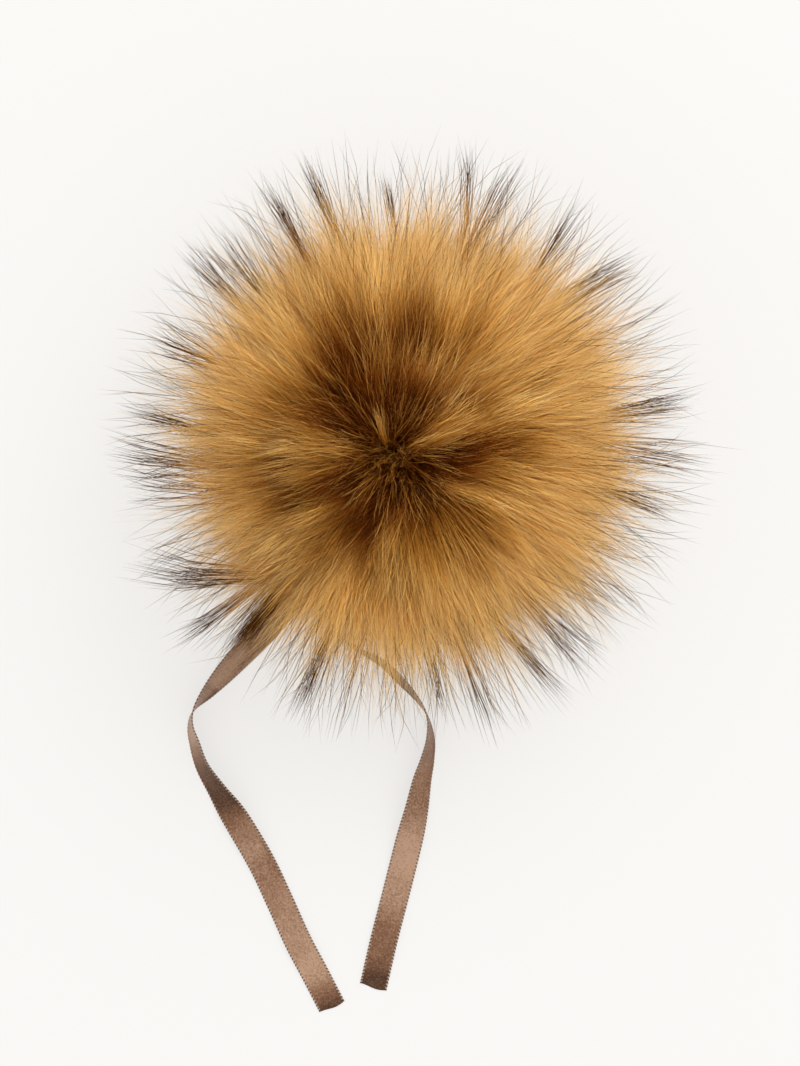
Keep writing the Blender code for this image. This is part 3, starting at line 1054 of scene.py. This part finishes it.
# Painted sheen and shade that cross the ribbons, such as the dark shadow of a fold, given as the
# pile's streaks are
SATIN_SHEEN_AND_SHADE_MARKS = (
    (244, 650, 214, 682, 4, 0.20),
    (252, 652, 224, 690, 3, -0.22),
    (216, 692, 200, 708, 3, -0.36),
    (236, 800, 226, 782, 6, -0.12),
    (262, 832, 276, 866, 5, -0.16),
    (437, 742, 437, 770, 5, -0.14),
    (366, 944, 362, 972, 4, 0.16),
)
# The satin's colours from tone 0 to tone 1, painted shade to painted sheen, and those of its corded
# edge, from dark to light
SATIN_SHEEN_RAMP = (
    (0.0, (56, 35, 21)),
    (0.5, (108, 76, 56)),
    (1.0, (152, 123, 101)),
)
# The picots' light colour is painted highlight on the loops, their dark colour painted shade between
# them.
PICOT_HIGHLIGHTS = ((0.30, (54, 36, 27)), (0.62, (158, 138, 122)))


def sheen_along(p, rows):
    """The painted sheen and shade at each point of a ribbon's middle line, from the rows given for
    it.
    """
    rows = np.array(rows, float)
    seen = np.array([seen_at(x, y, TIE_HEIGHT) for x, y in rows[:, :2]])
    at = np.argmin(np.linalg.norm(p[None, :, :2] - seen[:, None], axis=2), axis=1)
    tone = np.interp(np.arange(len(p)), at, rows[:, 2])
    kernel = np.hanning(11)
    padded = np.pad(tone, len(kernel) // 2, mode="edge")
    return np.convolve(padded, kernel / kernel.sum(), mode="valid")


def satin_material():
    shader = Shader(
        "brown_satin",
        Roughness=0.42,
        Anisotropic=0.5,
        Specular_IOR_Level=0.2,
        Specular_Tint=(1.0, 0.82, 0.7, 1),
    )
    across, along = shader.uv("ribbon")
    tone, _ = shader.uv("tone")
    noise = shader.noise(2200, 3, 0.75)
    grain = shader.math("MULTIPLY", shader.math("SUBTRACT", noise, 0.5), 1.5)
    shade = shader.math("MULTIPLY", shader.math("SUBTRACT", shader.noise(200, 2), 0.5), 0.3)
    # The tone map's painted sheen and shade, with grain and mottling, gives the satin's colour.
    face = shader.ramp(shader.math("ADD", shader.math("ADD", tone, grain), shade), SATIN_SHEEN_RAMP)
    # Painted highlights on the picot loops, with painted shade between them, in step along the edge.
    lit = shader.math("MULTIPLY", shader.wave(along, PICOT_PITCH), 0.5)
    picots = shader.ramp(shader.math("ADD", lit, 0.5), PICOT_HIGHLIGHTS)
    from_middle = shader.math("ABSOLUTE", shader.math("SUBTRACT", across, 0.5))
    edge = shader.math("MULTIPLY", shader.math("SUBTRACT", from_middle, 0.435), 40.0, clamp=True)
    colour = shader.mix(edge, face, shader.mix(0.8, face, picots))
    weave = shader.math("ADD", shader.wave(along, WEAVE_PITCH), shader.wave(across, 1 / THREADS))
    height = shader.math("ADD", weave, shader.math("MULTIPLY", noise, 5.0))
    shader.bump(height, 0.14, 0.04 * MM)
    return shader.coloured(colour)


def ribbon_sections(p, twist, at):
    """The points round a ribbon at each point p of its middle line, which is at metres along it."""
    tangent = unit(np.gradient(p, axis=0))
    side = unit(np.cross(tangent, UP))
    across = np.cos(twist)[:, None] * side + np.sin(twist)[:, None] * np.cross(side, tangent)
    normal = np.cross(across, tangent)
    picot = (0.5 + 0.5 * np.cos(2 * math.pi * at / PICOT_PITCH))[:, None]
    at_edge = np.abs(COLUMNS) > 0.94
    half = RIBBON_WIDTH / 2 - 0.16 * MM
    width = COLUMNS * half + np.sign(COLUMNS) * at_edge * picot * PICOT_DEPTH
    height = 0.5 * RIBBON_THICKNESS * THICKNESSES * (1 + at_edge * (picot - 0.6) * 0.5)
    body = p[:, None] + across[:, None] * width[..., None]
    upper = body + normal[:, None] * height[..., None]
    lower = body - normal[:, None] * height[..., None]
    sections = np.concatenate([upper, lower[:, ::-1]], axis=1)
    uneven = np.sin(2.4 * COLUMNS_ROUND + 0.7) * CUT_WAVE
    near_end = smoothstep(at[-1] - CUT_WAVE_LENGTH, at[-1], at)[:, None, None]
    sections += near_end * uneven[None, :, None] * tangent[:, None]
    sections[..., 2] = np.maximum(sections[..., 2], CLEARANCE / 2)
    return sections


def ribbon_faces(count, around):
    """Quads between so many sections of so many points, and across the ribbon's two ends."""
    r, c = np.meshgrid(np.arange(count - 1) * around, np.arange(around), indexing="ij")
    n = (c + 1) % around
    sides = np.stack([r + c, r + n, r + around + n, r + around + c], -1).reshape(-1, 4)
    j = np.arange(around // 2 - 1)
    start = np.stack([j, around - 1 - j, around - 2 - j, j + 1], -1)
    end = (count - 1) * around + start[:, ::-1]
    return np.vstack([sides, start, end])


def make_ribbon(node, rows, light, material):
    """A thin woven strip with a corded edge of small picots, along the CAD's route."""
    fine, twist = tie_route(rows, RIBBON_THICKNESS, 24)
    along = lengths_along(fine)
    at = np.arange(0, along[-1], ROW_STEP)
    p = np.stack([np.interp(at, along, fine[:, k]) for k in range(3)], axis=1)
    sections = ribbon_sections(p, np.interp(at, along, twist), at)
    # The painted sheen and shade along the ribbon and across it.
    tone = sheen_along(p, light)[:, None] + painted_streak_tone(sections, SATIN_SHEEN_AND_SHADE_MARKS, TIE_HEIGHT)
    place, under = COLUMNS_ROUND * 0.5 + 0.5, np.repeat([0.0, 1.0], len(COLUMNS))
    maps = {
        "ribbon": (place, at[:, None]),
        "tone": (np.clip(tone, *UV_RANGE), 0.5),
        "OFBake": (place * 0.46 + under * 0.5 + 0.02, at[:, None] / at[-1] * 0.96 + 0.02),
    }
    uvs = {name: np.stack(np.broadcast_arrays(*uv), -1).reshape(-1, 2) for name, uv in maps.items()}
    faces = (ribbon_faces(*sections.shape[:2]),)
    piece = mesh_object(node + "_satin", sections.reshape(-1, 3), faces, uvs, material)
    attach(piece, "root")
    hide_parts(node)


# --- stage ---


def make_camera():
    camera = bpy.data.cameras.new("camera")
    camera.sensor_fit = "HORIZONTAL"
    camera.sensor_width = 36.0
    camera.lens = camera.sensor_width * CAMERA_HEIGHT / (PHOTO_SIZE[0] * PIXEL)
    camera.clip_start = 0.01
    camera.clip_end = 20.0
    obj = link(bpy.data.objects.new("camera", camera))
    obj.location = (*CAMERA_XY, CAMERA_HEIGHT)
    bpy.context.scene.camera = obj


def make_floor():
    """A white sheet that glows a little, as the photograph's surface shows hardly a shadow."""
    mesh = bpy.data.meshes.new("floor")
    half = 3.0
    square = [(-half, -half, 0), (half, -half, 0), (half, half, 0), (-half, half, 0)]
    mesh.from_pydata(square, [], [(0, 1, 2, 3)])
    shader = Shader(
        "floor_white",
        Base_Color=(0.15, 0.149, 0.147, 1),
        Roughness=0.9,
        Emission_Color=(1.0, 0.982, 0.957, 1),
        Emission_Strength=0.68,
    )
    mesh.materials.append(shader.material)
    link(bpy.data.objects.new("floor", mesh))


def make_key_light():
    """A broad disk behind and above the pompom, which looks at its middle."""
    light = bpy.data.lights.new("key", "AREA")
    light.shape = "DISK"
    light.size = 1.1
    light.energy = 9.5
    light.color = (1, 0.985, 0.96)
    obj = link(bpy.data.objects.new("key", light))
    obj.location = (0.4, 0.6, 1.0)
    aim = Vector((0.0, -0.02, 0.03)) - obj.location
    obj.rotation_euler = aim.to_track_quat("-Z", "Y").to_euler()


def make_world():
    """Even white light from all round, and colours shown as they are."""
    scene = bpy.context.scene
    world = bpy.data.worlds.new("studio")
    world.use_nodes = True
    background = world.node_tree.nodes["Background"]
    background.inputs["Color"].default_value = (1, 1, 1, 1)
    background.inputs["Strength"].default_value = 1.36
    scene.world = world
    scene.view_settings.view_transform = "Standard"


make_camera()
satin = satin_material()
make_ribbon("ribbon_tie_left", LEFT_TIE, LEFT_SHEEN, satin)
make_ribbon("ribbon_tie_right", RIGHT_TIE, RIGHT_SHEEN, satin)
make_backing()
pile = pile_material()
pile_locks = Locks(large=260, small=3200)
top_of_pile = pile_top(make_pile(pile_locks, pile))
make_top_locks(top_of_pile, pile)
make_whorl(top_of_pile, pile)
make_fluff(pile_locks)
make_guard_hair(pile_locks)
make_floor()
make_world()
make_key_light()
